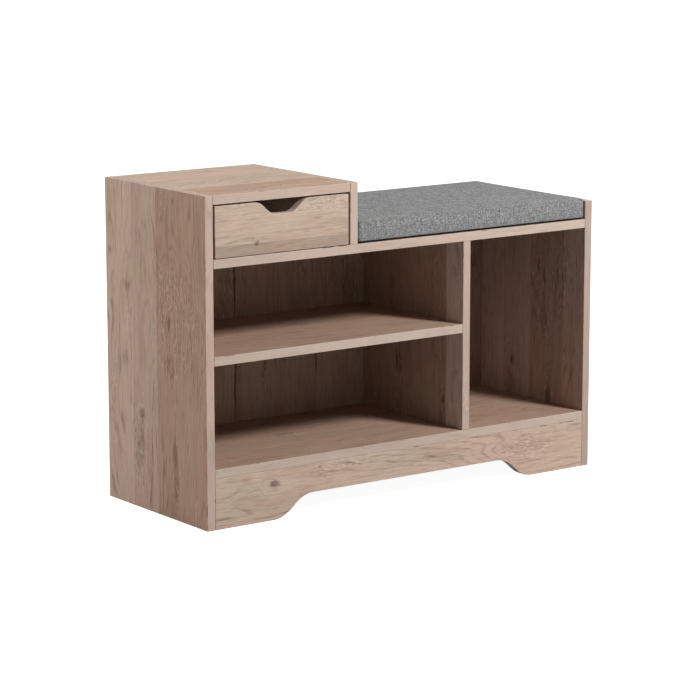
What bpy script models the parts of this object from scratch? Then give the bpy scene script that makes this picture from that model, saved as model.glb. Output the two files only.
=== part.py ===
"""Entryway bench: open shoe compartments under a padded seat, with a drawer tower at the left end.

The origin is on the floor under the middle of the footprint. +X runs to the right as seen from the
front, the front faces -Y and +Z is up. All sizes are in metres.
"""

import math

import bmesh
import bpy
from mathutils import Matrix, Vector

GAP = 0.0003  # clearance wherever two pieces touch
CUT = 0.002  # how far a cutter runs past the face it opens

# Carcass
WIDTH = 0.800
DEPTH = 0.300
BOARD = 0.015  # thickness of the laminated boards
EDGE = 0.0005  # chamfer along the boards' edges
KICK_HEIGHT = 0.084  # floor to the underside of the bottom shelf
SEAT_BOARD_TOP = 0.438
LOWER_CUBBY_HEIGHT = 0.168
RIGHT_CUBBY_WIDTH = 0.253
TOWER_WIDTH = 0.297
DRAWER_BAY_HEIGHT = 0.087
SIDE_RISE = 0.032  # the right side's upstand beside the cushion
REAR_RAIL_HEIGHT = 0.048

# Back panels, held in grooves
BACK_PANEL = 0.003
BACK_SETBACK = 0.014  # rear edge of the boards to the back panel
GROOVE = 0.005  # depth of the grooves

# Arch under the apron
FOOT_WIDTH = 0.1125
ARCH_RISE = 0.036
ARCH_RUN = 0.0805  # from the foot to the flat of the arch
ARCH_RADIUS = 0.052
ARC_STEPS = 8

# Drawer
FRONT_SIDE_GAP = 0.0036  # drawer front to the bay's walls
FRONT_TOP_GAP = 0.0026  # and to the tower top
FRONT_BOTTOM_GAP = 0.0012  # and to the seat board
DRAWER_WALL = 0.012
DRAWER_LIFT = 0.010  # seat board to the drawer's sides
DRAWER_HEADROOM = 0.011  # drawer's sides to the tower top
DRAWER_PANEL = 0.003
DRAWER_PANEL_LIFT = 0.008  # bottom edge of the sides to the bottom panel
NOTCH_WIDTH = 0.107  # finger notch, at the top edge
NOTCH_DEPTH = 0.021
NOTCH_RUN = 0.0415
NOTCH_RADIUS = 0.023

# Roller runners
RUNNER_SPACE = 0.0125  # bay wall to the drawer's side
RUNNER_REAR_SPACE = 0.018
RAIL_SHEET = 0.0012
RAIL_LIFT = 0.003
RAIL_FRONT_SPACE = 0.002
RAIL_FLANGE = 0.0095
DRAWER_RAIL_FLANGE = 0.0080
DRAWER_RAIL_LEDGE = 0.0110  # under the drawer's side
RAIL_PLAY = 0.0015
ROLLER_RADIUS = 0.009
ROLLER_WIDTH = 0.006
ROLLER_CHAMFER = 0.0008
ROLLER_INSET = 0.010  # rail's end to the roller's axis
ROLLER_SIDE_GAP = 0.0005
PIN_RADIUS = 0.0025
PIN_CLEARANCE = 0.00008  # pin to the roller's bore
PIN_HEAD_RADIUS = 0.0042
PIN_HEAD = 0.0010

# Cam fittings
CAM_RADIUS = 0.0075
CAM_WEB = 0.0025  # board left under the cam
CAM_DISTANCE = 0.024  # panel face to the cam's axis
CAM_INSET = 0.040  # from the front, and from the back panel
CAM_POCKET_RADIUS = 0.0038
CAM_POCKET_WALL = 0.001  # the pocket stops this far short of the axis
CAM_CROSS = 0.0055
CAM_CROSS_WIDTH = 0.0014
CAM_CROSS_DEPTH = 0.0030
BOLT_THREAD_RADIUS = 0.0030
BOLT_THREAD = 0.0105
BOLT_SHOULDER_RADIUS = 0.0035
BOLT_SHOULDER = 0.0020
BOLT_SHAFT_RADIUS = 0.0025
BOLT_NECK_RADIUS = 0.0016
BOLT_NECK = 0.0155  # from the panel's face
BOLT_HEAD_RADIUS = 0.0030
BOLT_HEAD = 0.0180
BOLT_END = 0.0205

# Cushion
CUSHION_THICKNESS = 0.0375
CUSHION_SIDE_GAP = 0.0025
CUSHION_FRONT_GAP = 0.0015  # front of the seat board to the cushion
CUSHION_REAR_GAP = 0.002
CUSHION_ROUND = 0.006
COVER = 0.0015
ZIP_WIDTH = 0.006
ZIP_END_SPACE = 0.040

# Sides of the round pieces
ROLLER_SIDES = 20
PIN_SIDES = 12
CAM_SIDES = 16
BOLT_SIDES = 10

# Places that follow from the sizes above
LEFT = -WIDTH / 2
RIGHT = WIDTH / 2
FRONT = -DEPTH / 2
REAR = DEPTH / 2
INNER_LEFT = LEFT + BOARD
INNER_RIGHT = RIGHT - BOARD
TOWER_RIGHT = LEFT + TOWER_WIDTH
BAY_RIGHT = TOWER_RIGHT - BOARD
DIVIDER_RIGHT = INNER_RIGHT - RIGHT_CUBBY_WIDTH
DIVIDER_LEFT = DIVIDER_RIGHT - BOARD
FRONT_BOARD_REAR = FRONT + BOARD
BACK_REAR = REAR - BACK_SETBACK
BACK_FRONT = BACK_REAR - BACK_PANEL
BOTTOM_SHELF_TOP = KICK_HEIGHT + BOARD
MIDDLE_SHELF_BOTTOM = BOTTOM_SHELF_TOP + LOWER_CUBBY_HEIGHT
SEAT_BOARD_BOTTOM = SEAT_BOARD_TOP - BOARD
TOWER_TOP_BOTTOM = SEAT_BOARD_TOP + DRAWER_BAY_HEIGHT
TOWER_TOP = TOWER_TOP_BOTTOM + BOARD

BAY_MIDDLE = (INNER_LEFT + BAY_RIGHT) / 2
DRAWER_LEFT = INNER_LEFT + RUNNER_SPACE
DRAWER_RIGHT = BAY_RIGHT - RUNNER_SPACE
DRAWER_REAR = BACK_FRONT - RUNNER_REAR_SPACE
DRAWER_BOTTOM = SEAT_BOARD_TOP + DRAWER_LIFT
DRAWER_TOP = TOWER_TOP_BOTTOM - DRAWER_HEADROOM
DRAWER_PANEL_BOTTOM = DRAWER_BOTTOM + DRAWER_PANEL_LIFT
DRAWER_PANEL_TOP = DRAWER_PANEL_BOTTOM + DRAWER_PANEL

RUNNER_LENGTH = DRAWER_REAR - FRONT_BOARD_REAR
RAIL_BOTTOM = SEAT_BOARD_TOP + RAIL_LIFT
ROLLER_AXIS_HEIGHT = RAIL_BOTTOM + RAIL_SHEET + GAP + ROLLER_RADIUS
DRAWER_RAIL_TOP = ROLLER_AXIS_HEIGHT + ROLLER_RADIUS + GAP + RAIL_SHEET
RAIL_TOP = DRAWER_RAIL_TOP + RAIL_PLAY + RAIL_SHEET
CABINET_RAIL_FRONT = FRONT_BOARD_REAR + RAIL_FRONT_SPACE


def add_collection(name):
    collection = bpy.data.collections.new(name)
    bpy.context.scene.collection.children.link(collection)
    return collection


def add_material(name, colour, roughness, metallic=0.0):
    material = bpy.data.materials.new(name)
    material.use_nodes = True
    shader = material.node_tree.nodes["Principled BSDF"]
    shader.inputs["Base Color"].default_value = (*colour, 1.0)
    shader.inputs["Roughness"].default_value = roughness
    shader.inputs["Metallic"].default_value = metallic
    return material


for leftover in list(bpy.data.objects):
    bpy.data.objects.remove(leftover)

parts = add_collection("entryway_bench")
cutters = add_collection("cutters")

oak = add_material("oak_laminate", (0.52, 0.41, 0.31), 0.55)
oak_dark = add_material("oak_back_panel", (0.45, 0.36, 0.28), 0.65)
drawer_board = add_material("drawer_board", (0.55, 0.45, 0.35), 0.60)
rail_steel = add_material("rail_steel", (0.80, 0.80, 0.78), 0.35, 0.9)
pin_steel = add_material("pin_steel", (0.62, 0.62, 0.62), 0.30, 1.0)
nylon = add_material("roller_nylon", (0.85, 0.85, 0.82), 0.45)
zinc = add_material("cam_zinc", (0.60, 0.60, 0.62), 0.40, 1.0)
linen = add_material("grey_linen", (0.28, 0.30, 0.31), 0.90)
foam = add_material("cushion_foam", (0.86, 0.82, 0.68), 0.95)
zip_tape = add_material("zip_tape", (0.16, 0.17, 0.18), 0.70)


# Building blocks


def add_object(name, data, material):
    obj = bpy.data.objects.new(name, data)
    parts.objects.link(obj)
    data.materials.clear()
    data.materials.append(material)
    return obj


def box_mesh(name, size):
    shape = bmesh.new()
    bmesh.ops.create_cube(shape, size=1.0, matrix=Matrix.Diagonal((*size, 1.0)))
    mesh = bpy.data.meshes.new(name)
    shape.to_mesh(mesh)
    shape.free()
    return mesh


def add_box(name, low, high, material):
    low = Vector(low)
    high = Vector(high)
    obj = add_object(name, box_mesh(name, high - low), material)
    obj.location = (low + high) / 2
    return obj


def chamfer(obj, width, segments=1):
    """Bevels the sharp edges that the object has before any Boolean."""
    bevel = obj.modifiers.new("edges", "BEVEL")
    bevel.width = width
    bevel.segments = segments
    bevel.limit_method = "ANGLE"
    bevel.angle_limit = math.radians(40)


def add_board(name, low, high, material=oak):
    board = add_box(name, low, high, material)
    chamfer(board, EDGE)
    return board


def cut(piece, cutter):
    """Cuts the cutter's shape out of the piece."""
    parts.objects.unlink(cutter)
    cutters.objects.link(cutter)
    cutter.hide_render = True
    cutter.display_type = "WIRE"
    boolean = piece.modifiers.new(cutter.name, "BOOLEAN")
    boolean.operation = "DIFFERENCE"
    boolean.solver = "EXACT"
    boolean.object = cutter


def cut_box(piece, name, low, high):
    material = piece.data.materials[0]
    cut(piece, add_box(name, low, high, material))


def clear_radius(radius, sides):
    """Radius of a many-sided hole whose flats stay GAP clear of a round piece."""
    return (radius + GAP) / math.cos(math.pi / sides)


def cut_round(piece, name, frame, low, high, radius, sides):
    """Cuts a round hole along the frame's Z, from low to high."""
    shape = bmesh.new()
    middle = Matrix.Translation((0.0, 0.0, (low + high) / 2))
    bmesh.ops.create_cone(
        shape,
        cap_ends=True,
        segments=sides,
        radius1=radius,
        radius2=radius,
        depth=high - low,
        matrix=middle,
    )
    mesh = bpy.data.meshes.new(name)
    shape.to_mesh(mesh)
    shape.free()
    cutter = add_object(name, mesh, piece.data.materials[0])
    cutter.matrix_basis = frame
    cut(piece, cutter)


def baked(obj):
    """The object's evaluated mesh, with doubled points welded. The object itself is removed."""
    bpy.context.view_layer.update()
    evaluated = obj.evaluated_get(bpy.context.evaluated_depsgraph_get())
    mesh = bpy.data.meshes.new_from_object(evaluated)
    shape = bmesh.new()
    shape.from_mesh(mesh)
    bmesh.ops.remove_doubles(shape, verts=shape.verts, dist=1e-6)
    flat = math.radians(0.1)
    bmesh.ops.dissolve_limit(shape, angle_limit=flat, verts=shape.verts, edges=shape.edges)
    bmesh.ops.recalc_face_normals(shape, faces=shape.faces)
    shape.to_mesh(mesh)
    shape.free()
    mesh.name = obj.name
    bpy.data.objects.remove(obj)
    return mesh


def turned_mesh(name, profile, sides, closed=False):
    """A profile of (radius, height) points, run down its outer side and turned about Z."""
    points = [(radius, 0.0, height) for radius, height in profile]
    edges = [(i, i + 1) for i in range(len(points) - 1)]
    if closed:
        edges.append((len(points) - 1, 0))
    mesh = bpy.data.meshes.new(name)
    mesh.from_pydata(points, edges, [])
    obj = add_object(name, mesh, zinc)
    screw = obj.modifiers.new("turn", "SCREW")
    screw.axis = "Z"
    screw.steps = sides
    screw.render_steps = sides
    screw.use_merge_vertices = True
    screw.merge_threshold = 0.00001
    turned = baked(obj)
    turned.shade_smooth()
    turned.set_sharp_from_angle(angle=math.radians(35))
    return turned


def extruded_mesh(name, outline, thickness):
    """A closed outline of (x, z) points, standing in the XZ plane and extruded evenly about it."""
    curve = bpy.data.curves.new(name, "CURVE")
    curve.dimensions = "2D"
    curve.fill_mode = "BOTH"
    curve.extrude = thickness / 2
    spline = curve.splines.new("POLY")
    spline.points.add(len(outline) - 1)
    for point, (x, z) in zip(spline.points, outline):
        point.co = (x, z, 0.0, 1.0)
    spline.use_cyclic_u = True
    mesh = baked(add_object(name, curve, oak))
    mesh.transform(Matrix.Rotation(math.pi / 2, 4, "X"))
    return mesh


def ogee(run, rise, radius):
    """Points of an S-shaped line from (0, 0) to (run, rise), level at both ends.

    It is two arcs of equal radius and their common tangent.
    """
    radius = min(radius, (run * run + rise * rise) / (4 * rise))
    between = Vector((run, rise - 2 * radius))
    slope = math.asin(min(1.0, 2 * radius / between.length)) + math.atan2(between.y, between.x)
    angles = [slope * step / ARC_STEPS for step in range(ARC_STEPS + 1)]
    lower = [(radius * math.sin(a), radius * (1 - math.cos(a))) for a in angles]
    upper = [(run - x, rise - z) for x, z in reversed(lower)]
    return lower + upper


def attach(piece, parent):
    """Parents a piece, and the cutters of its Booleans, without moving them."""
    helpers = [modifier.object for modifier in piece.modifiers if modifier.type == "BOOLEAN"]
    for obj in (piece, *helpers):
        obj.parent = parent
        obj.location -= parent.location


def add_empty(name, location):
    empty = bpy.data.objects.new(name, None)
    empty.location = location
    empty.empty_display_size = 0.05
    parts.objects.link(empty)
    return empty


# Carcass boards


def add_side_panels():
    right_top = SEAT_BOARD_TOP + SIDE_RISE
    left = add_board("left_side_panel", (LEFT, FRONT, 0.0), (INNER_LEFT, REAR, TOWER_TOP))
    right = add_board("right_side_panel", (INNER_RIGHT, FRONT, 0.0), (RIGHT, REAR, right_top))
    return left, right


def add_tower():
    top = add_board(
        "tower_top_panel",
        (INNER_LEFT + GAP, FRONT, TOWER_TOP_BOTTOM),
        (BAY_RIGHT - GAP, REAR, TOWER_TOP),
    )
    side = add_board(
        "tower_side_panel",
        (BAY_RIGHT, FRONT, SEAT_BOARD_TOP + GAP),
        (TOWER_RIGHT, REAR, TOWER_TOP),
    )
    return top, side


def add_level_board(name, bottom, right, rear):
    """A level board that starts at the left side panel."""
    return add_board(name, (INNER_LEFT + GAP, FRONT, bottom), (right - GAP, rear, bottom + BOARD))


def add_divider():
    return add_board(
        "centre_divider",
        (DIVIDER_LEFT, FRONT, BOTTOM_SHELF_TOP + GAP),
        (DIVIDER_RIGHT, BACK_FRONT - GAP, SEAT_BOARD_BOTTOM - GAP),
    )


def add_apron():
    """The board under the bottom shelf's front, arched so that it stands on a foot at each end."""
    left = INNER_LEFT + GAP
    right = INNER_RIGHT - GAP
    top = KICK_HEIGHT - GAP
    curve = ogee(ARCH_RUN, ARCH_RISE, ARCH_RADIUS)
    left_curve = [(INNER_LEFT + FOOT_WIDTH + x, z) for x, z in curve]
    right_curve = [(INNER_RIGHT - FOOT_WIDTH - x, z) for x, z in reversed(curve)]
    outline = [(left, 0.0), *left_curve, *right_curve, (right, 0.0), (right, top), (left, top)]
    apron = add_object("front_apron", extruded_mesh("front_apron", outline, BOARD), oak)
    apron.location.y = FRONT + BOARD / 2
    chamfer(apron, EDGE)
    return apron


def add_rear_rail():
    return add_board(
        "rear_rail",
        (INNER_LEFT + GAP, REAR - BOARD, KICK_HEIGHT - REAR_RAIL_HEIGHT),
        (INNER_RIGHT - GAP, REAR, KICK_HEIGHT - GAP),
    )


def add_back_panel(name, right, bottom, top):
    """A thin panel whose edges sit in grooves. right, bottom and top are the opening's own."""
    reach = GROOVE - GAP
    low = (INNER_LEFT - reach, BACK_FRONT, bottom - reach)
    high = (right + reach, BACK_REAR, top + reach)
    return add_box(name, low, high, oak_dark)


def cut_back_groove(piece, name, sideways, upright):
    low = (sideways[0], BACK_FRONT - GAP, upright[0])
    high = (sideways[1], BACK_REAR + GAP, upright[1])
    cut_box(piece, name, low, high)


left_side, right_side = add_side_panels()
tower_top, tower_side = add_tower()
seat_board = add_level_board("seat_board", SEAT_BOARD_BOTTOM, INNER_RIGHT, REAR)
bottom_shelf = add_level_board("bottom_shelf", KICK_HEIGHT, INNER_RIGHT, REAR)
add_level_board("middle_shelf", MIDDLE_SHELF_BOTTOM, DIVIDER_LEFT, BACK_FRONT - GAP)
add_divider()
add_apron()
add_rear_rail()
add_back_panel("lower_back_panel", INNER_RIGHT, BOTTOM_SHELF_TOP, SEAT_BOARD_BOTTOM)
add_back_panel("tower_back_panel", BAY_RIGHT, SEAT_BOARD_TOP, TOWER_TOP_BOTTOM)

# Grooves, each from low x to high x and from low z to high z
shelf_groove_bottom = BOTTOM_SHELF_TOP - GROOVE
seat_groove_bottom = SEAT_BOARD_TOP - GROOVE
seat_groove_top = SEAT_BOARD_BOTTOM + GROOVE
tower_groove_top = TOWER_TOP_BOTTOM + GROOVE
left_groove = (INNER_LEFT - GROOVE, INNER_LEFT + CUT)
right_groove = (INNER_RIGHT - CUT, INNER_RIGHT + GROOVE)
tower_groove = (BAY_RIGHT - CUT, BAY_RIGHT + GROOVE)
shelf_groove = (shelf_groove_bottom, BOTTOM_SHELF_TOP + CUT)
seat_lower_groove = (SEAT_BOARD_BOTTOM - CUT, seat_groove_top)
seat_upper_groove = (seat_groove_bottom, SEAT_BOARD_TOP + CUT)
tower_top_groove = (TOWER_TOP_BOTTOM - CUT, tower_groove_top)
for piece, name, sideways, upright in (
    (left_side, "left_groove", left_groove, (shelf_groove_bottom, tower_groove_top)),
    (right_side, "right_groove", right_groove, (shelf_groove_bottom, seat_groove_top)),
    (bottom_shelf, "bottom_groove", (LEFT, RIGHT), shelf_groove),
    (seat_board, "seat_lower_groove", (LEFT, RIGHT), seat_lower_groove),
    (seat_board, "seat_upper_groove", (LEFT, BAY_RIGHT + GROOVE), seat_upper_groove),
    (tower_top, "tower_top_groove", (LEFT, TOWER_RIGHT), tower_top_groove),
    (tower_side, "tower_side_groove", tower_groove, (SEAT_BOARD_TOP - CUT, tower_groove_top)),
):
    cut_back_groove(piece, name, sideways, upright)


# Drawer, sliding out along -Y


def add_drawer_front():
    """The inset front, with a finger notch in the middle of its top edge."""
    left = INNER_LEFT + FRONT_SIDE_GAP
    right = BAY_RIGHT - FRONT_SIDE_GAP
    bottom = SEAT_BOARD_TOP + FRONT_BOTTOM_GAP
    top = TOWER_TOP_BOTTOM - FRONT_TOP_GAP
    curve = ogee(NOTCH_RUN, NOTCH_DEPTH, NOTCH_RADIUS)
    left_curve = [(BAY_MIDDLE - NOTCH_WIDTH / 2 + x, top - z) for x, z in curve]
    right_curve = [(BAY_MIDDLE + NOTCH_WIDTH / 2 - x, top - z) for x, z in reversed(curve)]
    corners = [(right, top), (right, bottom), (left, bottom)]
    outline = [(left, top), *left_curve, *right_curve, *corners]
    front = add_object("drawer_front", extruded_mesh("drawer_front", outline, BOARD), oak)
    front.location.y = FRONT + BOARD / 2
    chamfer(front, EDGE)
    return front


def add_drawer_side(name, left):
    low = (left, FRONT_BOARD_REAR + GAP, DRAWER_BOTTOM)
    high = (left + DRAWER_WALL, DRAWER_REAR, DRAWER_TOP)
    return add_board(name, low, high, drawer_board)


def add_drawer_back():
    low = (DRAWER_LEFT + DRAWER_WALL + GAP, DRAWER_REAR - DRAWER_WALL, DRAWER_PANEL_TOP + GAP)
    high = (DRAWER_RIGHT - DRAWER_WALL - GAP, DRAWER_REAR, DRAWER_TOP)
    return add_board("drawer_back", low, high, drawer_board)


drawer_front = add_drawer_front()
drawer_left = add_drawer_side("drawer_left_side", DRAWER_LEFT)
drawer_right = add_drawer_side("drawer_right_side", DRAWER_RIGHT - DRAWER_WALL)
drawer_back = add_drawer_back()

panel_left = DRAWER_LEFT + DRAWER_WALL - GROOVE
panel_right = DRAWER_RIGHT - DRAWER_WALL + GROOVE
panel_front = FRONT_BOARD_REAR - GROOVE
drawer_bottom = add_box(
    "drawer_bottom",
    (panel_left + GAP, panel_front + GAP, DRAWER_PANEL_BOTTOM),
    (panel_right - GAP, DRAWER_REAR, DRAWER_PANEL_TOP),
    oak_dark,
)
for piece in (drawer_front, drawer_left, drawer_right):
    cut_box(
        piece,
        piece.name + "_groove",
        (panel_left, panel_front, DRAWER_PANEL_BOTTOM - GAP),
        (panel_right, DRAWER_REAR + CUT, DRAWER_PANEL_TOP + GAP),
    )
drawer_pieces = [drawer_front, drawer_left, drawer_right, drawer_back, drawer_bottom]


# Roller runners: a channel with a roller at its front on each bay wall, and under each of the
# drawer's sides a ledge rail with a roller at its rear


def add_rail(name, section, front, length):
    """A rail of one (x, z) cross-section along Y."""
    rail = add_object(name, extruded_mesh(name, section, length), rail_steel)
    rail.location.y = front + length / 2
    return rail


def cabinet_section(wall, inward):
    """A channel open towards the drawer, on the wall at that x. inward is the sign of x from it."""
    outer = wall + inward * GAP
    web = outer + inward * RAIL_SHEET
    tip = outer + inward * RAIL_FLANGE
    return [
        (outer, RAIL_BOTTOM),
        (tip, RAIL_BOTTOM),
        (tip, RAIL_BOTTOM + RAIL_SHEET),
        (web, RAIL_BOTTOM + RAIL_SHEET),
        (web, RAIL_TOP - RAIL_SHEET),
        (tip, RAIL_TOP - RAIL_SHEET),
        (tip, RAIL_TOP),
        (outer, RAIL_TOP),
    ]


def drawer_section(side, inward):
    """A Z-shaped rail: a ledge under the drawer's side, and a flange that rides on the roller."""
    inner = side - inward * GAP
    web = inner - inward * RAIL_SHEET
    tip = web - inward * DRAWER_RAIL_FLANGE
    ledge = inner + inward * DRAWER_RAIL_LEDGE
    ledge_top = DRAWER_BOTTOM - GAP
    return [
        (web, ledge_top - RAIL_SHEET),
        (ledge, ledge_top - RAIL_SHEET),
        (ledge, ledge_top),
        (inner, ledge_top),
        (inner, DRAWER_RAIL_TOP),
        (tip, DRAWER_RAIL_TOP),
        (tip, DRAWER_RAIL_TOP - RAIL_SHEET),
        (web, DRAWER_RAIL_TOP - RAIL_SHEET),
    ]


def roller_mesh():
    bore = (PIN_RADIUS + PIN_CLEARANCE) / math.cos(math.pi / ROLLER_SIDES)
    rim = ROLLER_RADIUS - ROLLER_CHAMFER
    half = ROLLER_WIDTH / 2
    profile = [
        (bore, half),
        (rim, half),
        (ROLLER_RADIUS, half - ROLLER_CHAMFER),
        (ROLLER_RADIUS, ROLLER_CHAMFER - half),
        (rim, -half),
        (bore, -half),
    ]
    return turned_mesh("roller", profile, ROLLER_SIDES, closed=True)


def pin_mesh():
    """A rivet, its foot flush with the rail's far face at z = 0. Its head keeps the roller on."""
    head = RAIL_SHEET + 2 * ROLLER_SIDE_GAP + ROLLER_WIDTH
    profile = [
        (0.0, head + PIN_HEAD),
        (PIN_HEAD_RADIUS, head + PIN_HEAD),
        (PIN_HEAD_RADIUS, head),
        (PIN_RADIUS, head),
        (PIN_RADIUS, 0.0),
        (0.0, 0.0),
    ]
    return turned_mesh("roller_pin", profile, PIN_SIDES)


def add_roller(prefix, rail, web, inward, y):
    """A roller on its pin, which points along x by inward's sign from the rail's far face, web."""
    turn = Matrix.Rotation(inward * math.pi / 2, 4, "Y")
    foot = Matrix.Translation((web, y, ROLLER_AXIS_HEIGHT)) @ turn
    middle = RAIL_SHEET + ROLLER_SIDE_GAP + ROLLER_WIDTH / 2
    roller = add_object(prefix + "_roller", rollers, nylon)
    roller.matrix_basis = foot @ Matrix.Translation((0.0, 0.0, middle))
    pin = add_object(prefix + "_roller_pin", pins, pin_steel)
    pin.matrix_basis = foot
    hole = clear_radius(PIN_RADIUS, PIN_SIDES)
    cut_round(rail, prefix + "_pin_hole", foot, -CUT, RAIL_SHEET + CUT, hole, PIN_SIDES)
    return roller, pin


rollers = roller_mesh()
pins = pin_mesh()
for hand, wall, side, inward in (
    ("left", INNER_LEFT, DRAWER_LEFT, 1),
    ("right", BAY_RIGHT, DRAWER_RIGHT, -1),
):
    channel = cabinet_section(wall, inward)
    cabinet_rail = add_rail(hand + "_cabinet_rail", channel, CABINET_RAIL_FRONT, RUNNER_LENGTH)
    front_axis = CABINET_RAIL_FRONT + ROLLER_INSET
    add_roller(hand + "_cabinet", cabinet_rail, wall + inward * GAP, inward, front_axis)
    ledge = drawer_section(side, inward)
    rail_front = FRONT_BOARD_REAR + GAP
    drawer_rail = add_rail(hand + "_drawer_rail", ledge, rail_front, DRAWER_REAR - rail_front)
    rear_axis = DRAWER_REAR - ROLLER_INSET
    web = side - inward * GAP
    roller, pin = add_roller(hand + "_drawer", drawer_rail, web, -inward, rear_axis)
    drawer_pieces += [drawer_rail, roller, pin]


# Cam fittings. Each joint has a frame: its origin is where the bolt's axis meets the panel's
# face, X points into the board drawn up to the panel, and Z towards the face the cam opens on


def cam_mesh(board):
    """A cam nut with its top face at z = 0, a pocket for the bolt's head and a cross recess."""
    height = board - CAM_WEB - 2 * GAP
    shape = bmesh.new()
    middle = Matrix.Translation((0.0, 0.0, -height / 2))
    bmesh.ops.create_cone(
        shape,
        cap_ends=True,
        segments=CAM_SIDES,
        radius1=CAM_RADIUS,
        radius2=CAM_RADIUS,
        depth=height,
        matrix=middle,
    )
    mesh = bpy.data.meshes.new("cam")
    shape.to_mesh(mesh)
    shape.free()
    nut = add_object("cam", mesh, zinc)
    pocket = Matrix.Translation((0.0, 0.0, GAP - board / 2)) @ Matrix.Rotation(-math.pi / 2, 4, "Y")
    rim = CAM_RADIUS + CUT
    cut_round(nut, "cam_pocket", pocket, CAM_POCKET_WALL, rim, CAM_POCKET_RADIUS, BOLT_SIDES)
    long = CAM_CROSS / 2
    short = CAM_CROSS_WIDTH / 2
    cut_box(nut, "cam_cross_x", (-long, -short, -CAM_CROSS_DEPTH), (long, short, CUT))
    cut_box(nut, "cam_cross_y", (-short, -long, -CAM_CROSS_DEPTH), (short, long, CUT))
    used = [modifier.object for modifier in nut.modifiers]
    solid = baked(nut)
    for cutter in used:
        bpy.data.objects.remove(cutter)
    solid.shade_smooth()
    solid.set_sharp_from_angle(angle=math.radians(35))
    return solid


def bolt_mesh():
    """A cam bolt, z = 0 at the panel's face: thread below, then shoulder, shaft, neck and head."""
    profile = [
        (0.0, BOLT_END),
        (BOLT_HEAD_RADIUS, BOLT_END),
        (BOLT_HEAD_RADIUS, BOLT_HEAD),
        (BOLT_NECK_RADIUS, BOLT_HEAD),
        (BOLT_NECK_RADIUS, BOLT_NECK),
        (BOLT_SHAFT_RADIUS, BOLT_NECK),
        (BOLT_SHAFT_RADIUS, GAP + BOLT_SHOULDER),
        (BOLT_SHOULDER_RADIUS, GAP + BOLT_SHOULDER),
        (BOLT_SHOULDER_RADIUS, GAP),
        (BOLT_THREAD_RADIUS, GAP),
        (BOLT_THREAD_RADIUS, -BOLT_THREAD),
        (0.0, -BOLT_THREAD),
    ]
    return turned_mesh("cam_bolt", profile, BOLT_SIDES)


def joint_frame(origin, into_board, to_cam_face):
    x = Vector(into_board)
    z = Vector(to_cam_face)
    frame = Matrix((x, z.cross(x), z)).transposed().to_4x4()
    return Matrix.Translation(origin) @ frame


def add_cam_joint(prefix, panel, board, thickness, frame):
    """Adds the cam and its bolt, and drills the panel and the board for them."""
    cam = add_object(prefix + "_cam", cams[thickness], zinc)
    cam.matrix_basis = frame @ Matrix.Translation((CAM_DISTANCE, 0.0, thickness / 2 - GAP))
    along = frame @ Matrix.Rotation(math.pi / 2, 4, "Y")
    bolt = add_object(prefix + "_cam_bolt", bolts, zinc)
    bolt.matrix_basis = along
    cam_axis = frame @ Matrix.Translation((CAM_DISTANCE, 0.0, 0.0))
    web = CAM_WEB - thickness / 2
    face = thickness / 2 + CUT
    bore = clear_radius(CAM_RADIUS, CAM_SIDES)
    cut_round(board, prefix + "_cam_hole", cam_axis, web, face, bore, CAM_SIDES)
    shaft = clear_radius(BOLT_SHOULDER_RADIUS, BOLT_SIDES)
    cut_round(board, prefix + "_bolt_hole", along, -CUT, CAM_DISTANCE, shaft, BOLT_SIDES)
    thread = clear_radius(BOLT_THREAD_RADIUS, BOLT_SIDES)
    depth = -BOLT_THREAD - GAP
    cut_round(panel, prefix + "_thread_hole", along, depth, CUT, thread, BOLT_SIDES)
    return cam, bolt


cams = {thickness: cam_mesh(thickness) for thickness in (BOARD, DRAWER_WALL)}
bolts = bolt_mesh()
level_joints = (
    ("seat_left", left_side, seat_board, INNER_LEFT, 1, SEAT_BOARD_BOTTOM),
    ("seat_right", right_side, seat_board, INNER_RIGHT, -1, SEAT_BOARD_BOTTOM),
    ("bottom_left", left_side, bottom_shelf, INNER_LEFT, 1, KICK_HEIGHT),
    ("bottom_right", right_side, bottom_shelf, INNER_RIGHT, -1, KICK_HEIGHT),
    ("tower_left", left_side, tower_top, INNER_LEFT, 1, TOWER_TOP_BOTTOM),
    ("tower_right", tower_side, tower_top, BAY_RIGHT, -1, TOWER_TOP_BOTTOM),
)
for place, y in (("front", FRONT + CAM_INSET), ("rear", BACK_FRONT - CAM_INSET)):
    for prefix, panel, board, x, inward, bottom in level_joints:
        frame = joint_frame((x, y, bottom + BOARD / 2), (inward, 0, 0), (0, 0, -1))
        add_cam_joint(f"{prefix}_{place}", panel, board, BOARD, frame)

drawer_cam_height = (DRAWER_PANEL_TOP + DRAWER_TOP) / 2
for hand, board, inner_face, inward in (
    ("left", drawer_left, DRAWER_LEFT + DRAWER_WALL, 1),
    ("right", drawer_right, DRAWER_RIGHT - DRAWER_WALL, -1),
):
    origin = (inner_face - inward * DRAWER_WALL / 2, FRONT_BOARD_REAR, drawer_cam_height)
    frame = joint_frame(origin, (0, 1, 0), (inward, 0, 0))
    drawer_pieces += add_cam_joint(f"drawer_{hand}", drawer_front, board, DRAWER_WALL, frame)

drawer = add_empty("drawer_slide", (BAY_MIDDLE, FRONT, DRAWER_BOTTOM))
for piece in drawer_pieces:
    attach(piece, drawer)


# Cushion, lying loose on the seat board


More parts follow.
